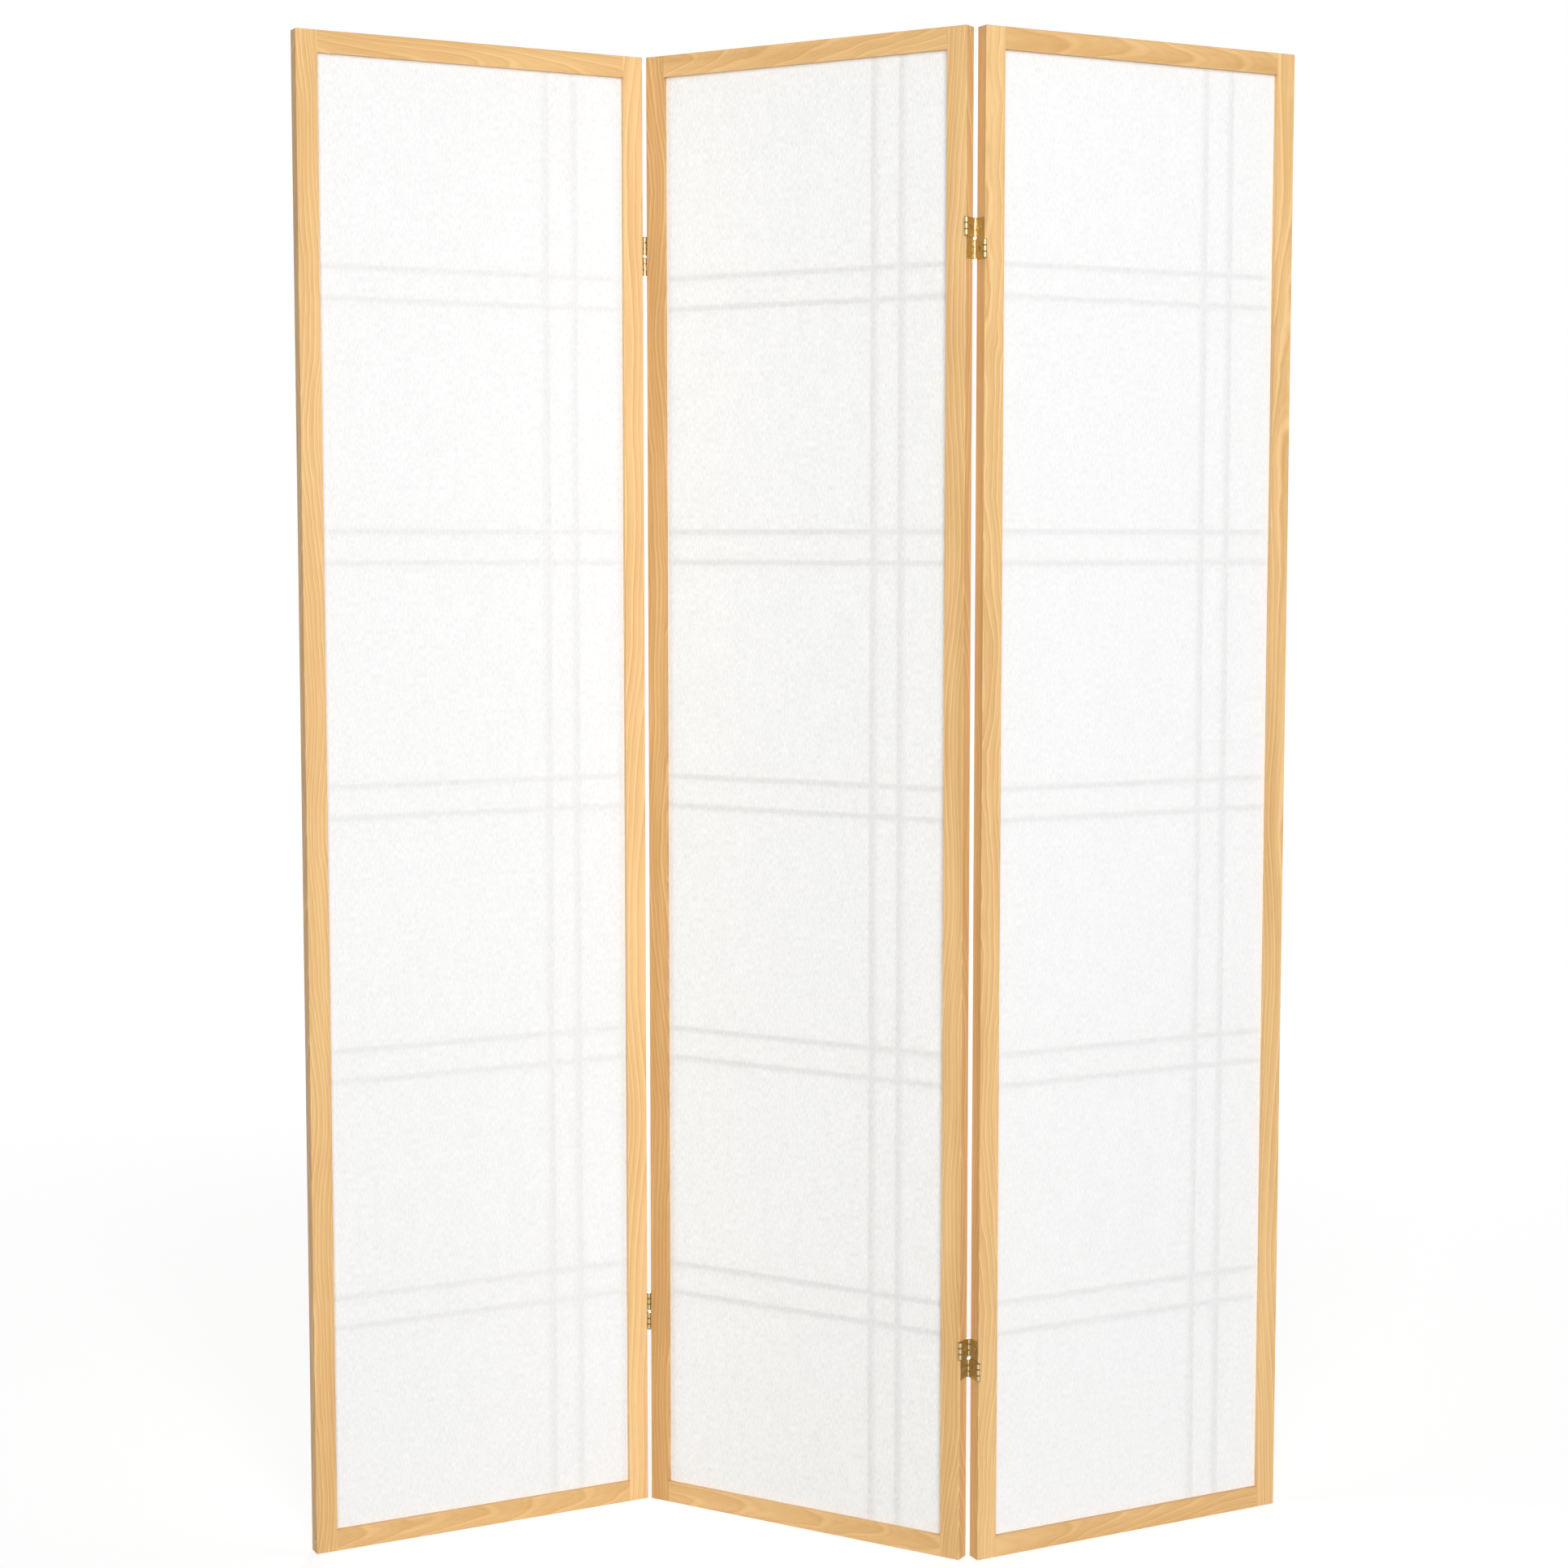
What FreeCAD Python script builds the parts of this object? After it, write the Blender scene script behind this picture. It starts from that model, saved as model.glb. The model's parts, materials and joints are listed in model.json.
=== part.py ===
"""Three-panel shoji folding screen: wood frames, paper, lattice bars and two-way brass hinges.

Millimetres. +Z is up, the screen runs along X, and its back (the plain paper side) looks to -Y.
The origin is on the floor under the middle of the centre panel.
"""
import FreeCAD, Part
import os
import Sketcher

Vector = FreeCAD.Vector
Rotation = FreeCAD.Rotation
Placement = FreeCAD.Placement
UP = Vector(0, 0, 1)

# Alias, value and meaning of each driving dimension, in millimetres or degrees.
DIMENSIONS = (
    ("panel_high", 1829, "height of each panel"),
    ("panel_wide", 444.5, "width of each panel"),
    ("frame_thick", 18.5, "thickness of stiles and rails"),
    ("member_wide", 26, "face width of stiles and rails"),
    ("arris", 0.4, "bevel of the outer edges of stiles and rails"),
    ("tenon_long", 12, "length of a rail's stub tenon"),
    ("tenon_thick", 8, "thickness of the tenon"),
    ("tenon_high", 16, "height of the tenon"),
    ("paper_recess", 5.7, "from the back face of the frame to the paper"),
    ("paper_thick", 0.4, "thickness of the paper"),
    ("seat_deep", 4, "depth of the paper groove and of the bar housings"),
    ("bar_wide", 6.4, "face width of a lattice bar"),
    ("bar_deep", 8, "depth of a lattice bar, front to back"),
    ("pair_pitch", 37.5, "between the centre lines of a pair of bars"),
    ("upright_pair_at", 336.5, "from the left edge of a panel to the middle of the upright pair"),
    ("row_1", 294, "height of the middle of cross pair 1"),
    ("row_2", 598, "height of the middle of cross pair 2"),
    ("row_3", 919, "height of the middle of cross pair 3"),
    ("row_4", 1225, "height of the middle of cross pair 4"),
    ("row_5", 1538, "height of the middle of cross pair 5"),
    ("lower_hinge_at", 246.8, "height of the middle of the lower hinges"),
    ("upper_hinge_at", 1585.6, "height of the middle of the upper hinges"),
    ("hinge_high", 47.6, "height of a hinge plate"),
    ("hinge_gap", 3, "gap between two panels that stand in line"),
    ("pivot_proud", 2.1, "from the face of the frame out to a hinge pin's centre line"),
    ("leaf_thick", 0.8, "thickness of hinge plates and leaves"),
    ("leaf_inset", 0.9, "from the face of the frame in to the edge of a leaf"),
    ("leaf_split", 0.8, "from the middle of the hinge to the end of a middle leaf"),
    ("knuckle_high", 7, "height of one knuckle"),
    ("knuckle_radius", 2.2, "outer radius of a knuckle"),
    ("knuckle_gap", 0.3, "between neighbouring knuckles"),
    ("access_at", 12.5, "from the middle of the hinge to the access hole of a middle leaf"),
    ("access_radius", 2.5, "radius of that hole, which lets a screwdriver through to the plate"),
    ("fold", 58, "angle that each hinge line is folded by, from panels in line"),
)
ROWS = ("row_1", "row_2", "row_3", "row_4", "row_5")

document = FreeCAD.newDocument("folding_screen")
sub_parts = []


def make_sheet():
    """Put the driving dimensions in a spreadsheet and return them as plain numbers too."""
    sheet = document.addObject("Spreadsheet::Sheet", "dims")
    for row, (alias, value, meaning) in enumerate(DIMENSIONS, start=1):
        sheet.set("A%d" % row, meaning)
        sheet.set("B%d" % row, str(value))
        sheet.setAlias("B%d" % row, alias)
    document.recompute()
    return {alias: float(sheet.get(alias)) for alias, _, _ in DIMENSIONS}


size = make_sheet()

# Formulas on the sheet's cells that several pieces share.
HALF_THICK = "dims.frame_thick / 2"
PAPER_BACK = "dims.paper_recess - dims.frame_thick / 2"
PAPER_FRONT = PAPER_BACK + " + dims.paper_thick"
BAR_FRONT = PAPER_FRONT + " + dims.bar_deep"
LAP_FACE = PAPER_FRONT + " + dims.bar_deep / 2"
SIGHT_WIDE = "dims.panel_wide - 2 * dims.member_wide"
LEAF_HALF = "dims.frame_thick / 2 - dims.leaf_inset"
PIVOT_OUT = "dims.frame_thick / 2 + dims.pivot_proud"
BARREL_HIGH = "(3 * dims.knuckle_high + 2 * dims.knuckle_gap)"


# ---- sketches and features --------------------------------------------------------------

def new_body(label, placement):
    """Start a sub-part with its own label and place."""
    body = document.addObject("PartDesign::Body", label)
    body.Label = label
    body.Placement = placement
    sub_parts.append(body)
    return body


def new_sketch(body, name, plane_role, offset="0"):
    """Attach a sketch to one of the body's own origin planes, moved along that plane's normal."""
    sketch = body.newObject("Sketcher::SketchObject", name)
    plane = next(item for item in body.Origin.OriginFeatures if item.Role == plane_role)
    sketch.AttachmentSupport = [(plane, "")]
    sketch.MapMode = "FlatFace"
    sketch.setExpression(".AttachmentOffset.Base.z", offset)
    return sketch


def bind_constraint(sketch, constraint, expression):
    """Add a dimension to a sketch and tie it to the sheet."""
    index = sketch.addConstraint(constraint)
    sketch.setExpression("Constraints[%d]" % index, expression)


def pin_point(sketch, geometry, point, position):
    """Fix one point of a sketch at a pair of formulas."""
    bind_constraint(sketch, Sketcher.Constraint("DistanceX", geometry, point, 1.0), position[0])
    bind_constraint(sketch, Sketcher.Constraint("DistanceY", geometry, point, 1.0), position[1])


def add_rectangle(sketch, low, high):
    """Draw a rectangle from its low corner to its high corner."""
    first = sketch.GeometryCount
    corners = (Vector(1, 1, 0), Vector(2, 1, 0), Vector(2, 2, 0), Vector(1, 2, 0))
    for side in range(4):
        sketch.addGeometry(Part.LineSegment(corners[side], corners[(side + 1) % 4]), False)
    for side in range(4):
        meets = Sketcher.Constraint("Coincident", first + side, 2, first + (side + 1) % 4, 1)
        sketch.addConstraint(meets)
    for side, run in enumerate(("Horizontal", "Vertical", "Horizontal", "Vertical")):
        sketch.addConstraint(Sketcher.Constraint(run, first + side))
    pin_point(sketch, first, 1, low)
    pin_point(sketch, first + 2, 1, high)


def add_circle(sketch, centre, radius):
    """Draw a circle round a centre point."""
    index = sketch.addGeometry(Part.Circle(Vector(1, 1, 0), UP, 1.0), False)
    pin_point(sketch, index, 3, centre)
    bind_constraint(sketch, Sketcher.Constraint("Radius", index, 1.0), radius)


def extrude(kind, sketch, name, length, backwards=False):
    """Pad or pocket a sketch by a formula's length."""
    feature = sketch.getParentGeoFeatureGroup().newObject("PartDesign::" + kind, name)
    feature.Profile = sketch
    feature.setExpression("Length", length)
    feature.Reversed = backwards
    return feature


def pad(sketch, name, length, backwards=False):
    return extrude("Pad", sketch, name, length, backwards)


def pocket(sketch, name, length, backwards=False):
    """Cut against the sketch's normal, or along it when backwards."""
    return extrude("Pocket", sketch, name, length, backwards)


def bevel_arrises(body, blank, is_outer):
    """Break the edges of a member's plain blank that is_outer picks by their middle points."""
    document.recompute()
    edges = []
    for number, edge in enumerate(blank.Shape.Edges, start=1):
        if is_outer(edge.CenterOfMass):
            edges.append("Edge%d" % number)
    bevel = body.newObject("PartDesign::Chamfer", "arrises")
    bevel.Base = (blank, edges)
    bevel.setExpression("Size", "dims.arris")
    document.recompute()


def span(middle, width):
    """Low and high formulas of a width about a middle."""
    return "%s - (%s) / 2" % (middle, width), "%s + (%s) / 2" % (middle, width)


def pair_members(middle):
    """Middle lines of the two bars of a pair."""
    return span(middle, "dims.pair_pitch")


# ---- wood frame, paper and lattice of one panel -----------------------------------------

def make_stile(label, place, side):
    """Upright of the frame. Its inner face is on x = 0, and side says which way its wood lies.

    Every edge but those of the inner face is beveled.
    """
    body = new_body(label, place)
    outer_x = "%d * dims.member_wide" % side
    low_x, high_x = (outer_x, "0") if side < 0 else ("0", outer_x)
    section = new_sketch(body, "section", "XY_Plane")
    add_rectangle(section, (low_x, "-" + HALF_THICK), (high_x, HALF_THICK))
    blank = pad(section, "blank", "dims.panel_high")
    bevel_arrises(body, blank, lambda middle: abs(middle.x) > size["arris"])

    inwards = side > 0
    mortises = new_sketch(body, "mortises", "YZ_Plane")
    for middle in ("dims.member_wide / 2", "dims.panel_high - dims.member_wide / 2"):
        low_z, high_z = span(middle, "dims.tenon_high")
        add_rectangle(mortises, ("-dims.tenon_thick / 2", low_z), ("dims.tenon_thick / 2", high_z))
    pocket(mortises, "rail_mortises", "dims.tenon_long", inwards)

    groove = new_sketch(body, "groove", "YZ_Plane")
    low_z = "dims.member_wide - dims.seat_deep"
    high_z = "dims.panel_high - dims.member_wide + dims.seat_deep"
    add_rectangle(groove, (PAPER_BACK, low_z), (PAPER_FRONT, high_z))
    pocket(groove, "paper_groove", "dims.seat_deep", inwards)

    housings = new_sketch(body, "housings", "YZ_Plane")
    for row in ROWS:
        for bar_middle in pair_members("dims." + row):
            low_z, high_z = span(bar_middle, "dims.bar_wide")
            add_rectangle(housings, (PAPER_FRONT, low_z), (BAR_FRONT, high_z))
    pocket(housings, "bar_housings", "dims.seat_deep", inwards)


def make_rail(label, place, side):
    """Cross member of the frame. Its inner face is on z = 0, and side says which way it lies.

    Its ends and inner edges stay crisp, so that it meets the stiles flush.
    """
    body = new_body(label, place)
    outer_z = "%d * dims.member_wide" % side
    low_z, high_z = (outer_z, "0") if side < 0 else ("0", outer_z)
    section = new_sketch(body, "section", "YZ_Plane")
    add_rectangle(section, ("-" + HALF_THICK, low_z), (HALF_THICK, high_z))
    blank = pad(section, "blank", SIGHT_WIDE)
    half_sight = size["panel_wide"] / 2 - size["member_wide"]

    def is_long_outer_edge(middle):
        from_middle = abs(middle.x - half_sight)
        return from_middle < size["arris"] and abs(middle.z) > size["member_wide"] / 2

    bevel_arrises(body, blank, is_long_outer_edge)

    tenon = new_sketch(body, "tenon", "YZ_Plane", "-dims.tenon_long")
    low_z, high_z = span("%d * dims.member_wide / 2" % side, "dims.tenon_high")
    add_rectangle(tenon, ("-dims.tenon_thick / 2", low_z), ("dims.tenon_thick / 2", high_z))
    pad(tenon, "stub_tenons", SIGHT_WIDE + " + 2 * dims.tenon_long")

    outwards = side > 0
    groove = new_sketch(body, "groove", "XY_Plane")
    add_rectangle(groove, ("0", PAPER_BACK), (SIGHT_WIDE, PAPER_FRONT))
    pocket(groove, "paper_groove", "dims.seat_deep", outwards)

    housings = new_sketch(body, "housings", "XY_Plane")
    for bar_middle in pair_members("dims.upright_pair_at - dims.member_wide"):
        low_x, high_x = span(bar_middle, "dims.bar_wide")
        add_rectangle(housings, (low_x, PAPER_FRONT), (high_x, BAR_FRONT))
    pocket(housings, "bar_housings", "dims.seat_deep", outwards)


def make_paper(label, place):
    """Flat sheet whose edges sit in the frame's groove. Its own corner is at x = 0, z = 0."""
    body = new_body(label, place)
    section = new_sketch(body, "section", "XY_Plane")
    wide = SIGHT_WIDE + " + 2 * dims.seat_deep"
    add_rectangle(section, ("0", PAPER_BACK), (wide, PAPER_FRONT))
    pad(section, "sheet", "dims.panel_high - 2 * (dims.member_wide - dims.seat_deep)")


def make_upright_bar(label, place):
    """Upright lattice bar, lapped over every cross bar, with the laps cut on the paper side."""
    body = new_body(label, place)
    section = new_sketch(body, "section", "XY_Plane")
    low_x, high_x = span("0", "dims.bar_wide")
    add_rectangle(section, (low_x, PAPER_FRONT), (high_x, BAR_FRONT))
    pad(section, "bar", "dims.panel_high - 2 * (dims.member_wide - dims.seat_deep)")

    laps = new_sketch(body, "laps", "YZ_Plane", "dims.bar_wide / 2")
    foot = "(dims.member_wide - dims.seat_deep)"
    for row in ROWS:
        for bar_middle in pair_members("dims." + row):
            low_z, high_z = span("%s - %s" % (bar_middle, foot), "dims.bar_wide")
            add_rectangle(laps, (PAPER_FRONT, low_z), (LAP_FACE, high_z))
    pocket(laps, "half_laps", "dims.bar_wide")


def make_cross_pair(label, place):
    """Two cross bars of one row, lapped under the upright bars, with the laps on the front."""
    body = new_body(label, place)
    section = new_sketch(body, "section", "YZ_Plane")
    for bar_middle in pair_members("0"):
        low_z, high_z = span(bar_middle, "dims.bar_wide")
        add_rectangle(section, (PAPER_FRONT, low_z), (BAR_FRONT, high_z))
    pad(section, "bars", SIGHT_WIDE + " + 2 * dims.seat_deep")

    top = "(dims.pair_pitch + dims.bar_wide) / 2"
    laps = new_sketch(body, "laps", "XY_Plane", top)
    shift = "dims.upright_pair_at - dims.member_wide + dims.seat_deep"
    for bar_middle in pair_members(shift):
        low_x, high_x = span(bar_middle, "dims.bar_wide")
        add_rectangle(laps, (low_x, LAP_FACE), (high_x, BAR_FRONT))
    pocket(laps, "half_laps", "dims.pair_pitch + dims.bar_wide")


def make_panel(name, place):
    """One panel. The panel's own x runs from its left edge and its z from the floor."""
    wide = size["panel_wide"]
    high = size["panel_high"]
    member = size["member_wide"]
    seat = size["seat_deep"]

    def at(x, z):
        return place.multiply(Placement(Vector(x, 0, z), Rotation()))

    make_stile(name + "_panel_left_stile", at(member, 0), -1)
    make_stile(name + "_panel_right_stile", at(wide - member, 0), 1)
    make_rail(name + "_panel_bottom_rail", at(member, member), -1)
    make_rail(name + "_panel_top_rail", at(member, high - member), 1)
    make_paper(name + "_panel_paper", at(member - seat, member - seat))
    for number, sign in ((1, -1), (2, 1)):
        x = size["upright_pair_at"] + sign * size["pair_pitch"] / 2
        make_upright_bar("%s_panel_upright_bar_%d" % (name, number), at(x, member - seat))
    for number, row in enumerate(ROWS, start=1):
        make_cross_pair("%s_panel_cross_bars_%d" % (name, number), at(member - seat, size[row]))


# ---- two-way hinges ---------------------------------------------------------------------
# A hinge's own frame: x across the gap between the panels, y from back to front, and z up
# from the middle of the hinge. Each hinge has a near (back) and a far (front) barrel in its
# upper half and in its lower half. Each barrel is three knuckles in line, solid with the pin
# that they hide.

def knuckle_span(half, number):
    """Low and high formulas of knuckle 0, 1 or 2, from the middle out, in one half."""
    near_end = "(dims.hinge_high / 2 - %s)" % BARREL_HIGH
    low = "%s + %d * (dims.knuckle_high + dims.knuckle_gap)" % (near_end, number)
    if half > 0:
        return low, "dims.knuckle_high"
    return "-(%s) - dims.knuckle_high" % low, "dims.knuckle_high"


def add_knuckle(body, name, half, number, side, neck):
    """Add one knuckle on the near (side -1) or far (side +1) barrel, with its neck to the leaf."""
    low_z, high = knuckle_span(half, number)
    pivot_y = "%d * (%s)" % (side, PIVOT_OUT)
    leaf_edge = "%d * (%s)" % (side, LEAF_HALF)
    low_y, high_y = (pivot_y, leaf_edge) if side < 0 else (leaf_edge, pivot_y)
    neck_low_x, neck_high_x = neck

    neck_sketch = new_sketch(body, name + "_neck_section", "XY_Plane", low_z)
    add_rectangle(neck_sketch, (neck_low_x, low_y), (neck_high_x, high_y))
    pad(neck_sketch, name + "_neck", high)
    curl_sketch = new_sketch(body, name + "_curl_section", "XY_Plane", low_z)
    add_circle(curl_sketch, ("0", pivot_y), "dims.knuckle_radius")
    pad(curl_sketch, name + "_curl", high)


def make_plate(label, place):
    """Plate that is screwed to a panel's edge on the low-x side of the gap.

    It holds the outer knuckles of the near barrel above and of the far barrel below. Turned
    half round about z, the same plate fits the edge on the other side of the gap.
    """
    body = new_body(label, place)
    wood_x = "-dims.hinge_gap / 2"
    open_x = "dims.leaf_thick - dims.hinge_gap / 2"
    section = new_sketch(body, "section", "XY_Plane", "-dims.hinge_high / 2")
    add_rectangle(section, (wood_x, "-(%s)" % LEAF_HALF), (open_x, LEAF_HALF))
    pad(section, "leaf", "dims.hinge_high")
    for half, side in ((1, -1), (-1, 1)):
        for number in (0, 2):
            name = "knuckle_%s_%d" % ("upper" if half > 0 else "lower", number)
            add_knuckle(body, name, half, number, side, (wood_x, open_x))


def make_middle_leaf(label, place):
    """Leaf between the two plates, in the upper half of the gap, that joins the two barrels.

    Turned half round about x, the same leaf fits the lower half.
    """
    body = new_body(label, place)
    low_x, high_x = span("0", "dims.leaf_thick")
    section = new_sketch(body, "section", "XY_Plane", "dims.leaf_split")
    add_rectangle(section, (low_x, "-(%s)" % LEAF_HALF), (high_x, LEAF_HALF))
    pad(section, "leaf", "dims.hinge_high / 2 - dims.leaf_split")
    for side, name in ((-1, "near_knuckle"), (1, "far_knuckle")):
        add_knuckle(body, name, 1, 1, side, (low_x, high_x))

    hole = new_sketch(body, "hole", "YZ_Plane", high_x)
    add_circle(hole, ("0", "dims.access_at"), "dims.access_radius")
    pocket(hole, "access_hole", "dims.leaf_thick")


HALF_TURN_Z = Placement(Vector(0, 0, 0), Rotation(UP, 180))
HALF_TURN_X = Placement(Vector(0, 0, 0), Rotation(Vector(1, 0, 0), 180))


def panel_places():
    """Places of the three panels, folded about their hinge pins."""
    half_fold = size["fold"] / 2
    wide = size["panel_wide"]
    half_gap = size["hinge_gap"] / 2
    pivot_y = size["frame_thick"] / 2 + size["pivot_proud"]
    turns = {"left": half_fold, "centre": -half_fold, "right": half_fold}
    rotations = {name: Rotation(UP, angle) for name, angle in turns.items()}

    centre_base = rotations["centre"].multVec(Vector(-wide / 2, 0, 0))
    places = {"centre": Placement(centre_base, rotations["centre"])}
    meetings = (
        ("left", Vector(-half_gap, -pivot_y, 0), Vector(wide + half_gap, -pivot_y, 0)),
        ("right", Vector(wide + half_gap, pivot_y, 0), Vector(-half_gap, pivot_y, 0)),
    )
    for name, on_centre, on_wing in meetings:
        pivot = places["centre"].multVec(on_centre)
        base = pivot - rotations[name].multVec(on_wing)
        places[name] = Placement(base, rotations[name])
        print("%s fold axis at x %.4f y %.4f mm" % (name, pivot.x, pivot.y))
    return places


def make_hinges(places):
    """Both hinges of both hinge lines."""
    wide = size["panel_wide"]
    half_gap = size["hinge_gap"] / 2
    heights = {"lower": size["lower_hinge_at"], "upper": size["upper_hinge_at"]}

    # Line, the panel on its left, the panel on its right, and which panel each middle leaf
    # stays with: the left line folds about its near pins and the right line about its far pins.
    lines = (
        ("left", "left", "centre", {"upper": "centre", "lower": "left"}),
        ("right", "centre", "right", {"upper": "centre", "lower": "right"}),
    )
    for line, left_panel, right_panel, leaf_panels in lines:
        for level, height in heights.items():
            spots = {
                left_panel: places[left_panel].multiply(
                    Placement(Vector(wide + half_gap, 0, height), Rotation())),
                right_panel: places[right_panel].multiply(
                    Placement(Vector(-half_gap, 0, height), Rotation())),
            }
            hinge = "%s_%s_hinge" % (level, line)
            make_plate(hinge + "_left_plate", spots[left_panel])
            make_plate(hinge + "_right_plate", spots[right_panel].multiply(HALF_TURN_Z))
            make_middle_leaf(hinge + "_upper_leaf", spots[leaf_panels["upper"]])
            lower_spot = spots[leaf_panels["lower"]].multiply(HALF_TURN_X)
            make_middle_leaf(hinge + "_lower_leaf", lower_spot)


# ---- checks and files -------------------------------------------------------------------

def check_document():
    """Stop if a feature failed, cut nothing or added nothing, or a sub-part isn't sound."""
    for item in document.Objects:
        faults = [state for state in item.State if state in ("Invalid", "Error")]
        if faults:
            raise RuntimeError("%s is %s" % (item.Label, faults))
        if item.TypeId in ("PartDesign::Pocket", "PartDesign::Pad") and item.BaseFeature:
            change = item.Shape.Volume - item.BaseFeature.Shape.Volume
            grows = item.TypeId == "PartDesign::Pad"
            if abs(change) < 0.1 or (change > 0) != grows:
                raise RuntimeError("%s changes the volume by %.3f" % (item.Name, change))
    for part in sub_parts:
        if part.Shape.isNull() or not part.Shape.isValid():
            raise RuntimeError(part.Label + " has no valid shape")


def write_parts():
    """Write each sub-part to its own file."""
    os.makedirs("parts", exist_ok=True)
    for part in sub_parts:
        part.Shape.exportStep("parts/%s.step" % part.Label)
        print("%-34s %d solid(s) %12.1f mm3" % (part.Label, len(part.Shape.Solids),
                                                part.Shape.Volume))


def build():
    places = panel_places()
    for name, place in places.items():
        make_panel(name, place)
    make_hinges(places)
    document.recompute()
    check_document()
    write_parts()


build()
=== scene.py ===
"""Looks of a three-panel shoji folding screen, seen from its back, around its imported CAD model.

Metres, in the model's own frame: +Z is up and the back of the screen looks to -Y.
"""

import json
import math

import bmesh
import bpy
from mathutils import Matrix, Vector


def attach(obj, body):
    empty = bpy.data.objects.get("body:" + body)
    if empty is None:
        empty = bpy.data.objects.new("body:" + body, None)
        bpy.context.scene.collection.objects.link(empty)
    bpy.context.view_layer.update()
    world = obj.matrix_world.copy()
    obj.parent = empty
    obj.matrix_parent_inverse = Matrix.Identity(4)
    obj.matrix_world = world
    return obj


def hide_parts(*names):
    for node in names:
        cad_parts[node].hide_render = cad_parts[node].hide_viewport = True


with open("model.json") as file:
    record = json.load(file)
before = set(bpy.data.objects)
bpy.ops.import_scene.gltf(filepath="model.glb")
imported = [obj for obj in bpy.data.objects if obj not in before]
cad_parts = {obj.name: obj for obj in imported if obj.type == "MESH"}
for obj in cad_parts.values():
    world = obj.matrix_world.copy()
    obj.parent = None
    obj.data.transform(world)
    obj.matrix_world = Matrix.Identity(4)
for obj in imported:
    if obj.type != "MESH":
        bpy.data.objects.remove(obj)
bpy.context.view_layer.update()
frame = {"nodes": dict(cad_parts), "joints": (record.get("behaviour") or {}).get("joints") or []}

# ---- sizes that the CAD model has too ----------------------------------------------------

MM = 0.001
PANEL_WIDE = 444.5 * MM
PANEL_HIGH = 1829 * MM
MEMBER_WIDE = 26 * MM
FRAME_THICK = 18.5 * MM
# How deep the paper's edge sits in its groove, and the y of the paper's lattice side.
SEAT_DEEP = 4 * MM
PAPER_FRONT = -3.15 * MM
HINGE_GAP = 3 * MM
PIVOT_OUT = FRAME_THICK / 2 + 2.1 * MM
LEAF_THICK = 0.8 * MM
HINGE_HEIGHTS = {"lower": 246.8 * MM, "upper": 1585.6 * MM}
# From the middle of a hinge up and down to its screws and to the inner end of its first knuckles.
SCREW_AT = 12.5 * MM
FIRST_JOINT = 2.05 * MM
# From joint to joint along a barrel, and how far from a panel's middle plane the barrels start.
KNUCKLE_STEP = 7.3 * MM
BARREL_FROM = 9.0 * MM
FOLD_EACH_WAY = math.radians(29)

PANEL_TURNS = {"left": FOLD_EACH_WAY, "centre": -FOLD_EACH_WAY, "right": FOLD_EACH_WAY}


def panel_places():
    """Each panel's own frame: x from its left edge, y from back to front, z from the floor."""
    turned = {name: Matrix.Rotation(turn, 4, "Z") for name, turn in PANEL_TURNS.items()}
    pivots = {joint["name"]: Vector(joint["pos_m"]) for joint in frame["joints"]}
    on_left_panel = Vector((PANEL_WIDE + HINGE_GAP / 2, -PIVOT_OUT, 0))
    on_right_panel = Vector((-HINGE_GAP / 2, PIVOT_OUT, 0))
    bases = {
        "left": pivots["left_fold"] - turned["left"] @ on_left_panel,
        "centre": turned["centre"] @ Vector((-PANEL_WIDE / 2, 0, 0)),
        "right": pivots["right_fold"] - turned["right"] @ on_right_panel,
    }
    for base in bases.values():
        base.z = 0
    return {name: Matrix.Translation(bases[name]) @ turned[name] for name in PANEL_TURNS}


PANELS = panel_places()


# ---- node helpers --------------------------------------------------------------------------

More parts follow.
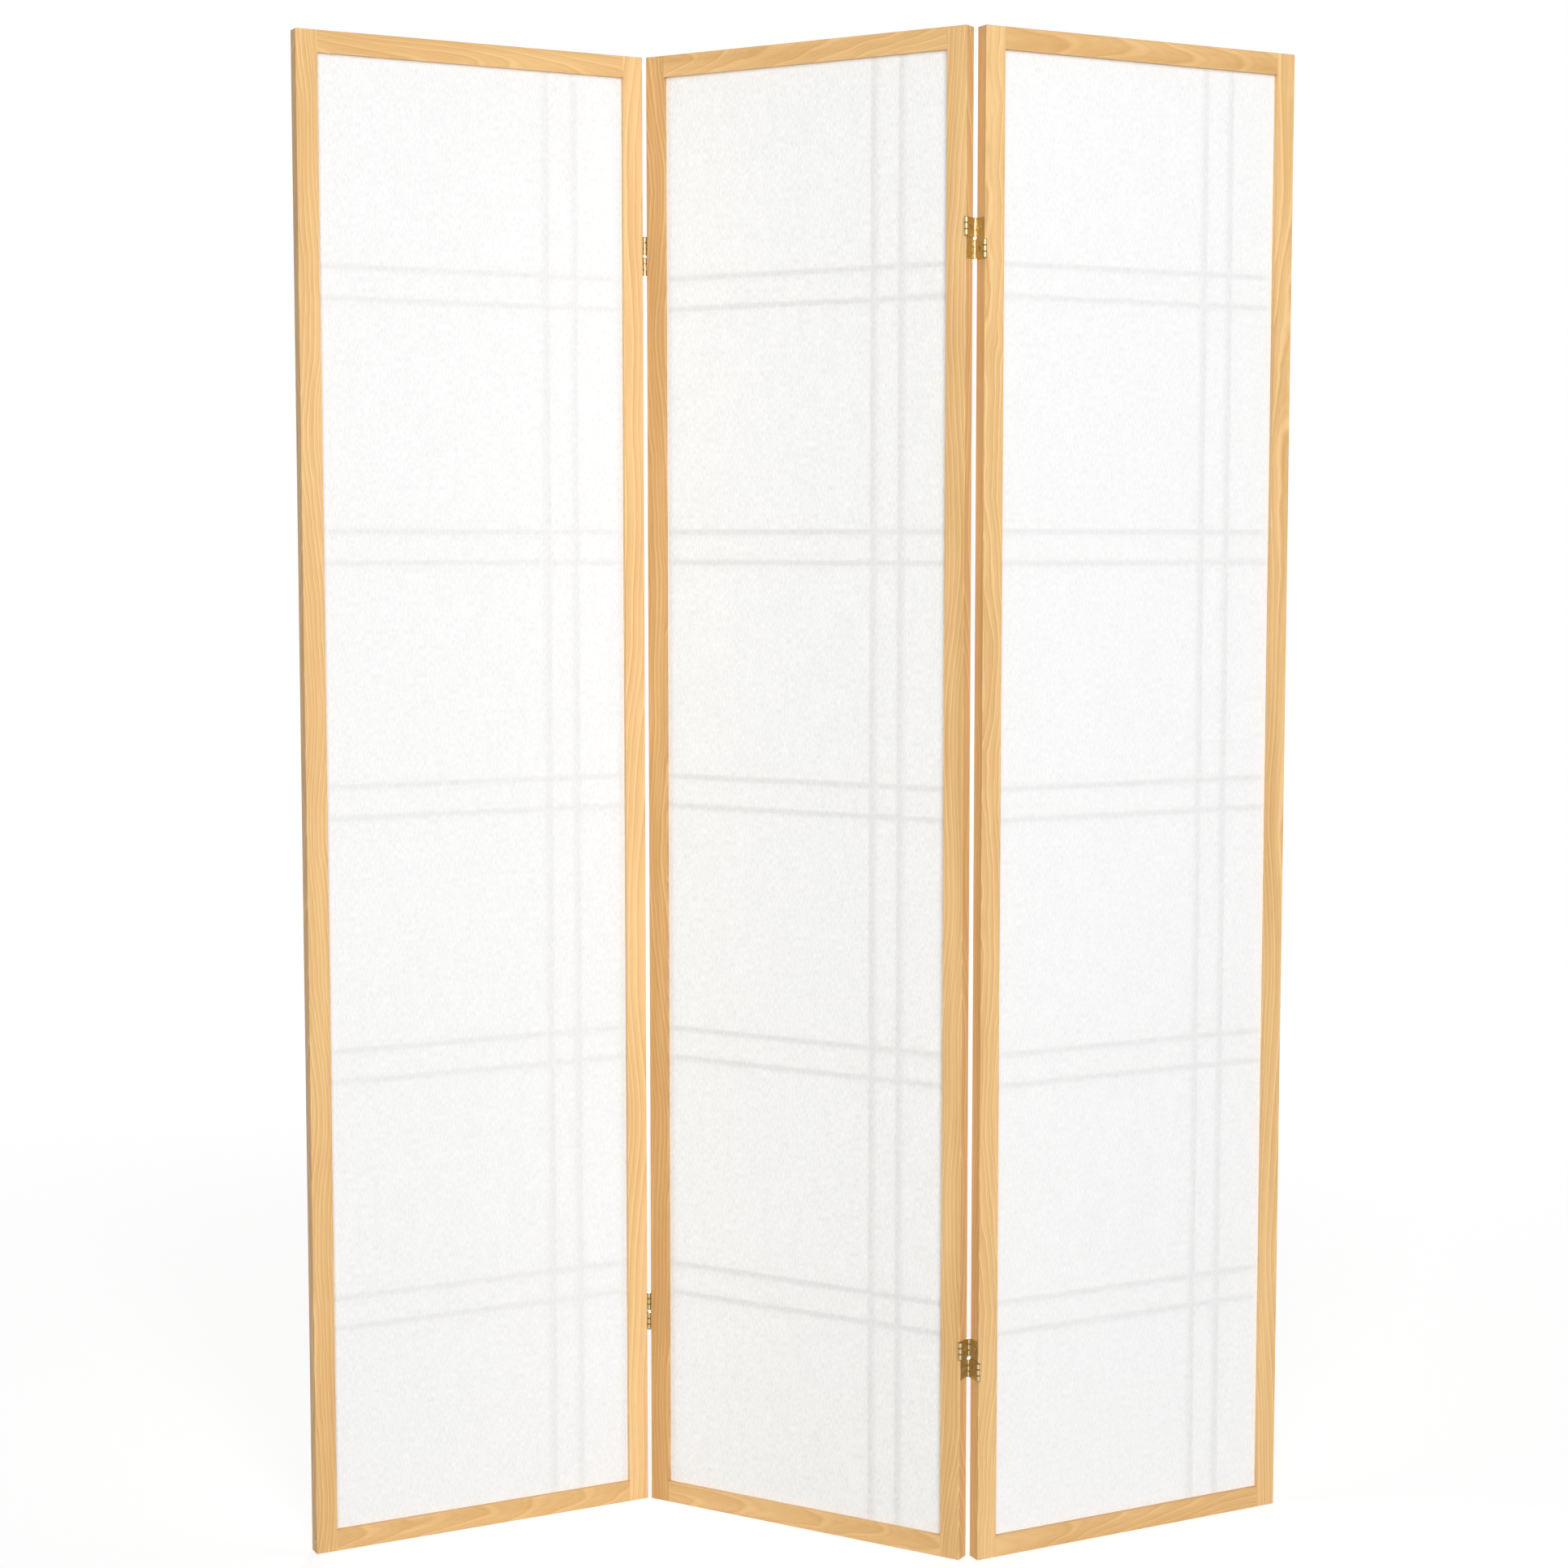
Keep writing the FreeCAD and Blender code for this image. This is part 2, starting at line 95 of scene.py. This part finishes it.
class Graph:
    """Short calls for building the nodes of one material or world."""

    def __init__(self, owner):
        self.owner = owner
        owner.use_nodes = True
        self.nodes = owner.node_tree.nodes
        self.links = owner.node_tree.links
        self.nodes.clear()

    def feed(self, socket, value):
        """Link an output to a socket, or set a plain number, vector or colour on it."""
        if isinstance(value, bpy.types.NodeSocket):
            self.links.new(value, socket)
        elif value is not None:
            socket.default_value = value

    def add(self, kind, **inputs):
        node = self.nodes.new("ShaderNode" + kind)
        for key, value in inputs.items():
            self.feed(node.inputs[key.replace("_", " ")], value)
        return node

    def math(self, operation, first, second=None, third=None, clamp=False):
        node = self.nodes.new("ShaderNodeMath")
        node.operation = operation
        node.use_clamp = clamp
        for socket, value in zip(node.inputs, (first, second, third)):
            self.feed(socket, value)
        return node.outputs[0]

    def point(self):
        """The surface point in the object's own coordinates."""
        return self.add("TexCoord").outputs["Object"]

    def on_panel(self, panel):
        """The same point's x, y and z in a panel's own frame."""
        mapping = self.nodes.new("ShaderNodeMapping")
        mapping.vector_type = "TEXTURE"
        self.feed(mapping.inputs["Vector"], self.point())
        mapping.inputs["Location"].default_value = PANELS[panel].translation
        mapping.inputs["Rotation"].default_value = (0, 0, PANEL_TURNS[panel])
        return self.add("SeparateXYZ", Vector=mapping.outputs[0]).outputs

    def join(self, x, y, z):
        return self.add("CombineXYZ", X=x, Y=y, Z=z).outputs[0]

    def vector(self, operation, first, second):
        node = self.nodes.new("ShaderNodeVectorMath")
        node.operation = operation
        self.feed(node.inputs[0], first)
        self.feed(node.inputs[1], second)
        return node.outputs[0]

    def noise(self, place, stretch, detail, roughness):
        """Noise whose frequency on each axis, in turns a metre, is given by stretch."""
        node = self.add("TexNoise", Vector=self.vector("MULTIPLY", place, stretch))
        node.inputs["Scale"].default_value = 1
        node.inputs["Detail"].default_value = detail
        node.inputs["Roughness"].default_value = roughness
        return node.outputs["Fac"]

    def ramp(self, value, *stops):
        """Grey or colour ramp. Each stop is a place from 0 to 1 and a grey or a colour."""
        node = self.add("ValToRGB", Fac=value)
        elements = node.color_ramp.elements
        while len(elements) < len(stops):
            elements.new(0.5)
        for element, (place, colour) in zip(elements, stops):
            element.position = place
            grey = isinstance(colour, (int, float))
            element.color = (colour,) * 3 + (1,) if grey else tuple(colour) + (1,)
        return node.outputs["Color"]

    def mix(self, factor, first, second, blend="MIX"):
        node = self.nodes.new("ShaderNodeMix")
        node.data_type = "RGBA"
        node.blend_type = blend
        # A colour mix has its factor at input 0, its colours at 6 and 7 and its result at 2.
        self.feed(node.inputs[0], factor)
        self.feed(node.inputs[6], first)
        self.feed(node.inputs[7], second)
        return node.outputs[2]

    def bump(self, height, strength, distance):
        node = self.add("Bump", Height=height)
        node.inputs["Strength"].default_value = strength
        node.inputs["Distance"].default_value = distance
        return node.outputs[0]

    def blend(self, factor, first, second):
        node = self.add("MixShader", Fac=factor)
        self.links.new(first.outputs[0], node.inputs[1])
        self.links.new(second.outputs[0], node.inputs[2])
        return node

    def finish(self, shader, output="OutputMaterial"):
        self.links.new(shader.outputs[0], self.add(output).inputs["Surface"])
        return self.owner


def srgb(red, green, blue):
    """A linear colour from sRGB levels of 0 to 255."""
    levels = [level / 255 for level in (red, green, blue)]
    return tuple(c / 12.92 if c < 0.04045 else ((c + 0.055) / 1.055) ** 2.4 for c in levels)


# ---- camera, light and floor -------------------------------------------------------------

WHITE = (1, 1, 1, 1)


def make_camera():
    """The photograph's camera, from a fit to the corners of the three panels."""
    looks_down = math.radians(4.873)
    turned_left = math.radians(1.49)
    data = bpy.data.cameras.new("camera")
    data.lens = 65.08
    data.sensor_width = 36
    camera = bpy.data.objects.new("camera", data)
    camera.location = (0.065, -3.468, 1.231)
    camera.rotation_euler = (math.radians(90) - looks_down, 0, turned_left)
    bpy.context.scene.collection.objects.link(camera)
    bpy.context.scene.camera = camera


def aim_area_lamp(name, location, target, size, level):
    """Square soft box that lights a surface square to it to the given level at the target."""
    data = bpy.data.lights.new(name, "AREA")
    data.size = size
    away = Vector(location) - Vector(target)
    data.energy = level * (math.pi * away.length) ** 2
    lamp = bpy.data.objects.new(name, data)
    lamp.location = location
    lamp.rotation_euler = away.to_track_quat("Z", "Y").to_euler()
    lamp.visible_camera = False
    bpy.context.scene.collection.objects.link(lamp)


def seen_directly(graph):
    """Factor that is 1 where the camera, a mirror or glass looks straight at the surface."""
    path = graph.add("LightPath").outputs
    seen = graph.math("MAXIMUM", path["Is Camera Ray"], path["Is Glossy Ray"])
    return graph.math("MAXIMUM", seen, path["Is Transmission Ray"])


def make_world():
    """White where it is seen, and a plain soft fill where it lights."""
    world = bpy.data.worlds.new("studio")
    bpy.context.scene.world = world
    graph = Graph(world)
    fill = graph.add("Background", Color=WHITE, Strength=0.24)
    seen = graph.add("Background", Color=WHITE, Strength=1.0)
    graph.finish(graph.blend(seen_directly(graph), fill, seen), "OutputWorld")


def floor_material():
    """Pale grey, lifted towards white where it is seen, and plain white further off."""
    fade_reach = 6.0
    graph = Graph(bpy.data.materials.new("floor"))
    matt = graph.add("BsdfDiffuse", Color=(0.5, 0.5, 0.5, 1))
    lift = graph.add("Emission", Color=WHITE, Strength=0.68)
    white = graph.add("Emission", Color=WHITE, Strength=1.0)
    none = graph.add("Emission", Color=WHITE, Strength=0.0)
    near = graph.add("AddShader")
    graph.links.new(matt.outputs[0], near.inputs[0])
    graph.links.new(graph.blend(seen_directly(graph), none, lift).outputs[0], near.inputs[1])
    from_middle = graph.add("VectorMath", Vector=graph.point())
    from_middle.operation = "LENGTH"
    share = graph.math("DIVIDE", from_middle.outputs["Value"], fade_reach)
    far = graph.ramp(share, (0.30, 0.0), (0.85, 1.0))
    distant = graph.math("MULTIPLY", far, seen_directly(graph))
    return graph.finish(graph.blend(distant, near, white))


def make_floor():
    """Plain pale floor that keeps the screen's shadow."""
    reach = 16
    mesh = bpy.data.meshes.new("floor")
    corners = [(-reach, -reach, 0), (reach, -reach, 0), (reach, reach, 0), (-reach, reach, 0)]
    mesh.from_pydata(corners, [], [(0, 1, 2, 3)])
    floor = bpy.data.objects.new("floor", mesh)
    bpy.context.scene.collection.objects.link(floor)
    mesh.materials.append(floor_material())


def make_studio():
    """A large key and a small side lamp before the back, and a lamp behind the lattice."""
    middle = (0, 0, 0.9)
    aim_area_lamp("key", (0.6, -8.5, 3.2), middle, size=6.0, level=0.80)
    aim_area_lamp("side", (3.5, -7.5, 1.2), middle, size=3.0, level=0.15)
    aim_area_lamp("rear", (0.0, 8.0, 1.5), middle, size=1.6, level=0.70)
    make_world()
    make_floor()


# ---- wood ----------------------------------------------------------------------------------

WOOD_LIGHT = srgb(245, 204, 145)
WOOD_DARK = srgb(209, 160, 99)
WOOD_SPECULAR = 0.25
RING_STEP = 5.0 * MM

# How far, in metres, slow sways and short curls carry the rings aside, and the middle of that.
SWAY_ACROSS = 0.085
CURL_ACROSS = 0.009
CURL_IN_DEPTH = 0.008
MIDDLE_ACROSS = 0.0475
MIDDLE_IN_DEPTH = 0.004

# How strongly rings, clouds and bands shade the wood. Flat-sawn rails show their rings less.
UPRIGHT_FIGURE = 0.80
LYING_FIGURE = 0.48
MIDDLE_SHADE = 0.46
CLOUD_SHADE = 0.6
BAND_SHADE = 0.8

# Panel, member, where the pith line starts in millimetres, its lean each metre, seed and tone. The
# tone is partly the wood's own and partly painted light and shade that evens out the lamps across
# the members.
FRAME_MEMBERS = (
    ("left", "left_stile", (-60, -20), (0.02, 0.01), 0.0, 0.0),
    ("left", "right_stile", (470, -60), (-0.01, 0.02), 3.1, -0.22),
    ("left", "top_rail", (1812, 14), (0.02, -0.06), 5.7, 0.03),
    ("left", "bottom_rail", (16, 16), (-0.02, -0.07), 7.9, 0.0),
    ("centre", "left_stile", (-70, -25), (0.02, 0.02), 11.3, 0.36),
    ("centre", "right_stile", (500, -30), (-0.02, 0.01), 13.6, 0.02),
    ("centre", "top_rail", (1818, 18), (-0.03, -0.07), 17.2, 0.0),
    ("centre", "bottom_rail", (10, 12), (0.02, -0.06), 19.5, 0.0),
    ("right", "left_stile", (-50, -45), (-0.02, 0.02), 23.4, -0.10),
    ("right", "right_stile", (480, -40), (0.02, 0.02), 27.7, -0.08),
    ("right", "top_rail", (1812, 15), (0.02, -0.06), 29.1, 0.16),
    ("right", "bottom_rail", (18, 17), (-0.02, -0.07), 31.8, 0.0),
)

# The lattice bars share one pith line, far outside them, so their grain runs straight.
BAR_PITH = (0.2, -0.3)
BAR_LEAN = (0.01, 0.0)
BAR_SEED = 41.0
BAR_SEED_STEP = 3


def pith_distance(graph, place, stick, pith, lean):
    """Distance from the wandering pith line to a place: across the stick, in depth and along it."""
    across, in_depth, along = place
    sway = graph.noise(stick, (3, 3, 2.6), 1, 0.4)
    curl = graph.noise(stick, (24, 24, 10), 2, 0.5)
    off_across = graph.math("MULTIPLY_ADD", along, lean[0], across)
    off_across = graph.math("MULTIPLY_ADD", sway, SWAY_ACROSS, off_across)
    off_across = graph.math("MULTIPLY_ADD", curl, CURL_ACROSS, off_across)
    off_across = graph.math("SUBTRACT", off_across, pith[0] + MIDDLE_ACROSS)
    off_depth = graph.math("MULTIPLY_ADD", along, lean[1], in_depth)
    off_depth = graph.math("MULTIPLY_ADD", curl, CURL_IN_DEPTH, off_depth)
    off_depth = graph.math("SUBTRACT", off_depth, pith[1] + MIDDLE_IN_DEPTH)
    square = graph.math("MULTIPLY", off_depth, off_depth)
    return graph.math("SQRT", graph.math("MULTIPLY_ADD", off_across, off_across, square))


def growth_rings(graph, radius, seed):
    """Shades of rings at uneven steps, from early to late wood, and of finer lines within them."""
    spread = graph.noise(graph.join(radius, seed, 0), (90, 1, 1), 1, 0.5)
    count = graph.math("MULTIPLY", radius, 1 / RING_STEP)
    count = graph.math("MULTIPLY_ADD", spread, 1.6, count)
    late = graph.ramp(graph.math("FRACT", count), (0, 0.06), (0.12, 0.0), (0.26, 0.46),
                      (0.66, 0.60), (0.88, 1.0), (1, 0.06))
    fine = graph.ramp(graph.math("FRACT", graph.math("MULTIPLY", count, 3.0)),
                      (0, 0.35), (0.18, 0.15), (0.80, 0.85), (1, 0.35))
    return late, fine


def wood(name, panel, runs_up, pith, lean, seed, tone_and_shade=0.0):
    """Honey pine, cut from growth rings about a pith line that runs roughly along the stick.

    pith is where that line starts, across the stick and in depth, lean is how far it strays in both
    for each metre, seed moves the figure, and tone makes the stick darker or paler, partly as the
    wood's own tone and partly as painted light and shade.
    """
    graph = Graph(bpy.data.materials.new(name))
    x, y, z = graph.on_panel(panel)
    place = (x, y, z) if runs_up else (z, y, x)
    stick = graph.vector("ADD", graph.join(*place), (0, 0, seed))
    radius = pith_distance(graph, place, stick, pith, lean)
    late, fine = growth_rings(graph, radius, seed)
    figure = graph.math("MULTIPLY_ADD", fine, 0.30, graph.math("MULTIPLY", late, 0.70))

    fibre = graph.noise(stick, (1500, 1500, 38), 2, 0.6)
    cloud = graph.noise(stick, (30, 30, 5), 2, 0.5)
    band = graph.noise(stick, (70, 70, 2.2), 2, 0.5)
    contrast = UPRIGHT_FIGURE if runs_up else LYING_FIGURE
    # The tone shifts the shade: partly the wood's own tone, partly painted light and shade.
    shade = graph.math("MULTIPLY_ADD", figure, contrast, MIDDLE_SHADE - contrast / 2 + tone_and_shade)
    shade = graph.math("SUBTRACT", shade, CLOUD_SHADE / 2)
    shade = graph.math("MULTIPLY_ADD", cloud, CLOUD_SHADE, shade)
    shade = graph.math("SUBTRACT", shade, BAND_SHADE / 2)
    shade = graph.math("MULTIPLY_ADD", band, BAND_SHADE, shade, clamp=True)
    colour = graph.mix(shade, (*WOOD_LIGHT, 1), (*WOOD_DARK, 1))
    grain = graph.ramp(fibre, (0.34, 0.93), (0.56, 1.0))
    colour = graph.mix(1.0, colour, grain, "MULTIPLY")

    height = graph.math("MULTIPLY_ADD", late, -0.3, graph.math("MULTIPLY", fibre, 0.5))
    roughness = graph.math("MULTIPLY_ADD", fibre, 0.12, 0.42)
    surface = graph.add("BsdfPrincipled", Base_Color=colour, Roughness=roughness)
    surface.inputs["Specular IOR Level"].default_value = WOOD_SPECULAR
    graph.feed(surface.inputs["Normal"], graph.bump(height, 0.3, 0.1 * MM))
    return graph.finish(surface)


def finish_node(name, material):
    node = frame["nodes"][name]
    node.data.materials.clear()
    node.data.materials.append(material)


def dress_wood():
    for panel, member, pith, lean, seed, tone_and_shade in FRAME_MEMBERS:
        name = "%s_panel_%s" % (panel, member)
        start = [offset * MM for offset in pith]
        runs_up = member.endswith("stile")
        finish_node(name, wood(name, panel, runs_up, start, lean, seed, tone_and_shade))
    for number, panel in enumerate(PANEL_TURNS):
        seed = BAR_SEED + BAR_SEED_STEP * number
        for stem, runs_up in (("upright_bar", True), ("cross_bars", False)):
            name = "%s_panel_%s" % (panel, stem)
            material = wood(name, panel, runs_up, BAR_PITH, BAR_LEAN, seed)
            for node in sorted(frame["nodes"]):
                if node.startswith(name):
                    finish_node(node, material)


# ---- paper ---------------------------------------------------------------------------------

# The paper's shades where its fibres lie thin and thick, and the share of light it lets through.
# All three sheets are one paper: the differences between the panels are painted light and shade.
PAPER_LOOKS_AND_PAINTED_LIGHT = {
    "left": ((240, 240, 240), (251, 251, 251), 0.17),
    "centre": ((240, 240, 239), (253, 253, 252), 0.215),
    "right": ((243, 243, 243), (254, 254, 254), 0.18),
}
THREAD_SHADE = srgb(222, 222, 226)
PAPER_SEED_STEP = 7.3

# The sheet is thinner than the solid that it stands for and just clear of the bars, because the
# lattice's shadow spreads with the distance to the face that is seen.
SHEET_THICK = 0.15 * MM
CLEAR_OF_BARS = 0.03 * MM
SHEET_STEPS = (20, 90)


def paper_material(panel, seed):
    """White fibrous paper that lets a little light through, so that the lattice shades it."""
    # The thin and thick shades carry each panel's painted light and shade as well as the fibres'
    # own shades.
    thin, thick, clear = PAPER_LOOKS_AND_PAINTED_LIGHT[panel]
    graph = Graph(bpy.data.materials.new(panel + "_paper"))
    sheet = graph.vector("ADD", graph.point(), (seed, 0, 0))

    pulp = graph.noise(sheet, (120, 120, 45), 3, 0.6)
    hairs = graph.noise(sheet, (620, 620, 150), 2, 0.6)
    density = graph.math("MULTIPLY_ADD", hairs, 0.82, graph.math("MULTIPLY", pulp, 0.18))
    white = graph.ramp(density, (0.34, srgb(*thin)), (0.62, srgb(*thick)))

    # Long threads run where a slow noise passes its middle, in patches.
    wander = graph.noise(sheet, (95, 95, 38), 2, 0.5)
    thread = graph.math("ABSOLUTE", graph.math("SUBTRACT", wander, 0.5))
    thread = graph.ramp(thread, (0.0, 1.0), (0.006, 0.0))
    patch = graph.ramp(graph.noise(sheet, (30, 30, 24), 1, 0.5), (0.60, 0.0), (0.70, 1.0))
    thread = graph.math("MULTIPLY", graph.math("MULTIPLY", thread, patch), 0.30)
    colour = graph.mix(thread, white, (*THREAD_SHADE, 1))

    relief = graph.math("MULTIPLY_ADD", thread, 2.0, hairs)
    normal = graph.bump(relief, 0.25, 0.12 * MM)
    front = graph.add("BsdfPrincipled", Base_Color=colour, Normal=normal)
    front.inputs["Roughness"].default_value = 0.8
    front.inputs["Specular IOR Level"].default_value = 0.2
    through = graph.add("BsdfTranslucent", Color=colour)
    return graph.finish(graph.blend(clear, front, through))


def mesh_from(shape, name):
    """Turn a bmesh into a mesh with its faces looking outward, and free the bmesh."""
    bmesh.ops.recalc_face_normals(shape, faces=shape.faces)
    mesh = bpy.data.meshes.new(name)
    shape.to_mesh(mesh)
    shape.free()
    return mesh


def thin_sheet(name, low, high, steps):
    """Closed sheet on the panel's x and z, with its two faces at the low and high y."""
    columns, rows = steps
    shape = bmesh.new()

    def layer(y):
        return [[shape.verts.new((low.x + (high.x - low.x) * i / columns, y,
                                  low.z + (high.z - low.z) * k / rows))
                 for i in range(columns + 1)] for k in range(rows + 1)]

    back, front = layer(low.y), layer(high.y)
    for k in range(rows):
        for i in range(columns):
            shape.faces.new((back[k][i], back[k][i + 1], back[k + 1][i + 1], back[k + 1][i]))
            shape.faces.new((front[k][i], front[k + 1][i], front[k + 1][i + 1], front[k][i + 1]))
    rim = [(0, i) for i in range(columns)] + [(k, columns) for k in range(rows)]
    rim += [(rows, i) for i in range(columns, 0, -1)] + [(k, 0) for k in range(rows, 0, -1)]
    for (k, i), (next_k, next_i) in zip(rim, rim[1:] + rim[:1]):
        shape.faces.new((back[k][i], front[k][i], front[next_k][next_i], back[next_k][next_i]))
    return mesh_from(shape, name)


def add_piece(name, mesh, place, body):
    """Put a mesh at its place, on the CAD body that carries it."""
    piece = bpy.data.objects.new(name, mesh)
    piece.matrix_world = place
    bpy.context.scene.collection.objects.link(piece)
    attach(piece, body)
    return piece


def make_papers():
    """One sheet a panel, in place of the paper solid, with its edges in the frame's grooves."""
    inset = MEMBER_WIDE - SEAT_DEEP
    front = PAPER_FRONT - CLEAR_OF_BARS
    low = Vector((inset, front - SHEET_THICK, inset))
    high = Vector((PANEL_WIDE - inset, front, PANEL_HIGH - inset))
    for number, (panel, place) in enumerate(PANELS.items()):
        mesh = thin_sheet(panel + "_panel_sheet", low, high, SHEET_STEPS)
        mesh.materials.append(paper_material(panel, PAPER_SEED_STEP * number))
        sheet = add_piece(panel + "_panel_sheet", mesh, place, panel + "_panel")
        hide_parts(panel + "_panel_paper")


# ---- hinges --------------------------------------------------------------------------------

HINGE_TINT = (0.59, 0.45, 0.23)
SCREW_TINT = (0.70, 0.53, 0.30)
# Painted shade: the screw heads' cross recesses are coloured dark brass.
RECESS_SHADE = (0.20, 0.14, 0.07)
TARNISHED = 0.82
# Share of the tint left in the painted shade at the knuckles' joints.
JOINT_SHADE = 0.30

# Each hinge line has a panel on its left and one on its right.
LINES = {"left": ("left", "centre"), "right": ("centre", "right")}
# The lower and the upper screw of a plate: their side of its middle, and their turn in degrees.
PLATE_SCREWS = ((-1, 25), (1, 70))
SCREW_SEGMENTS = 24


def painted_joint_shade(graph, panel):
    """Factor that is 1 at the joints of the barrels' knuckles, on the hinge parts of one panel,
    where shade is painted.
    """
    point = graph.on_panel(panel)
    halfway = (HINGE_HEIGHTS["lower"] + HINGE_HEIGHTS["upper"]) / 2
    from_halfway = graph.math("ABSOLUTE", graph.math("SUBTRACT", point["Z"], halfway))
    from_hinge = graph.math("SUBTRACT", from_halfway, HINGE_HEIGHTS["upper"] - halfway)
    from_first = graph.math("SUBTRACT", graph.math("ABSOLUTE", from_hinge), FIRST_JOINT)
    steps = graph.math("DIVIDE", from_first, KNUCKLE_STEP)
    off_joint = graph.math("ABSOLUTE", graph.math("SUBTRACT", steps, graph.math("ROUND", steps)))
    joint = graph.ramp(off_joint, (0.06, 1.0), (0.20, 0.0))
    from_plane = graph.math("ABSOLUTE", point["Y"])
    return graph.math("MULTIPLY", joint, graph.math("GREATER_THAN", from_plane, BARREL_FROM))


def brass(name, tint, panel=None):
    """Lacquered brass, satin from rolling, with faint tarnish.

    Hinge parts name the panel that carries them, and get painted shade at the joints between their
    knuckles.
    """
    graph = Graph(bpy.data.materials.new(name))
    point = graph.point()
    lines = graph.noise(point, (700, 700, 5000), 2, 0.5)
    tarnish = graph.noise(point, (110, 110, 110), 3, 0.6)
    cover = graph.ramp(tarnish, (0.35, 0.0), (0.75, 1.0))
    darker = tuple(TARNISHED * channel for channel in tint)
    colour = graph.mix(cover, (*tint, 1), (*darker, 1))
    if panel:
        # Painted shade: the barrels darken at each joint between knuckles.
        joint_shade_tint = tuple(JOINT_SHADE * channel for channel in tint)
        colour = graph.mix(painted_joint_shade(graph, panel), colour, (*joint_shade_tint, 1))
    roughness = graph.math("MULTIPLY_ADD", tarnish, 0.10, 0.30)
    roughness = graph.math("MULTIPLY_ADD", lines, 0.06, roughness)
    surface = graph.add("BsdfPrincipled", Base_Color=colour, Roughness=roughness)
    surface.inputs["Metallic"].default_value = 1
    return graph.finish(surface)


def plus_outline(reach, arm):
    """Corners of a plus sign, going round."""
    corner = [(reach, -arm), (reach, arm), (arm, arm)]
    return [(x * c - y * s, x * s + y * c)
            for c, s in ((1, 0), (0, 1), (-1, 0), (0, -1)) for x, y in corner]


def add_screw_head(shape, place, metal, shadow):
    """Raised countersunk head with a cross recess, facing +Z of its place."""

    def ring(points, height):
        corners = [shape.verts.new(place @ Vector((x, y, height))) for x, y in points]
        return [shape.edges.new(pair) for pair in zip(corners, corners[1:] + corners[:1])]

    def circle(radius):
        turns = [2 * math.pi * k / SCREW_SEGMENTS for k in range(SCREW_SEGMENTS)]
        return [(radius * math.cos(t), radius * math.sin(t)) for t in turns]

    # From the countersink in the plate, over the raised head, down to the recess's floor.
    rings = [
        ring(circle(1.9 * MM), -0.25 * MM),
        ring(circle(2.3 * MM), 0.00 * MM),
        ring(circle(2.25 * MM), 0.08 * MM),
        ring(circle(1.7 * MM), 0.19 * MM),
        ring(plus_outline(1.35 * MM, 0.30 * MM), 0.22 * MM),
        ring(plus_outline(1.15 * MM, 0.18 * MM), 0.03 * MM),
    ]
    for lower, upper in zip(rings, rings[1:]):
        sunk = upper is rings[-1]
        made = bmesh.ops.bridge_loops(shape, edges=lower + upper)["faces"]
        for face in made:
            face.material_index = shadow if sunk else metal
            face.smooth = not sunk
    for loop, slot in ((rings[0], metal), (rings[-1], shadow)):
        corners = [edge.verts[0] for edge in loop]
        shape.faces.new(corners).material_index = slot


def plate_screws(name, side, height):
    """Mesh of the two screw heads of one plate, in the frame of the panel that it is on."""
    outward, edge = (1, PANEL_WIDE) if side == "left" else (-1, 0)
    facing = Matrix.Rotation(outward * math.pi / 2, 4, "Y")
    shape = bmesh.new()
    for step, twist in PLATE_SCREWS:
        spot = Vector((edge + outward * LEAF_THICK, 0, height + step * SCREW_AT))
        turned = Matrix.Rotation(math.radians(twist), 4, "Z")
        add_screw_head(shape, Matrix.Translation(spot) @ facing @ turned, 0, 1)
    return mesh_from(shape, name)


def make_screws(metal, recess):
    """Two screws in each hinge plate, one above the other, seen past the leaves' access holes."""
    for line, beside in LINES.items():
        for level, height in HINGE_HEIGHTS.items():
            for side, panel in zip(("left", "right"), beside):
                name = "%s_%s_hinge_%s_plate_screws" % (level, line, side)
                mesh = plate_screws(name, side, height)
                mesh.materials.append(metal)
                # The second slot paints the cross recess dark: painted shade.
                mesh.materials.append(recess)
                add_piece(name, mesh, PANELS[panel], panel + "_panel")


def hinge_part_panel(node):
    """The panel that carries a plate or a middle leaf."""
    line = "left" if "_left_hinge_" in node else "right"
    if node.endswith("plate"):
        on_left, on_right = LINES[line]
        return on_left if node.endswith("left_plate") else on_right
    return "centre" if node.endswith("upper_leaf") else line


def dress_hinges():
    materials = {panel: brass(panel + "_hinge_brass", HINGE_TINT, panel) for panel in PANELS}
    for node in sorted(frame["nodes"]):
        if "_hinge_" in node:
            finish_node(node, materials[hinge_part_panel(node)])
    make_screws(brass("screw_brass", SCREW_TINT), brass("screw_recess_shade", RECESS_SHADE))


make_camera()
make_studio()
dress_wood()
make_papers()
dress_hinges()

bpy.context.scene.view_settings.view_transform = "Standard"
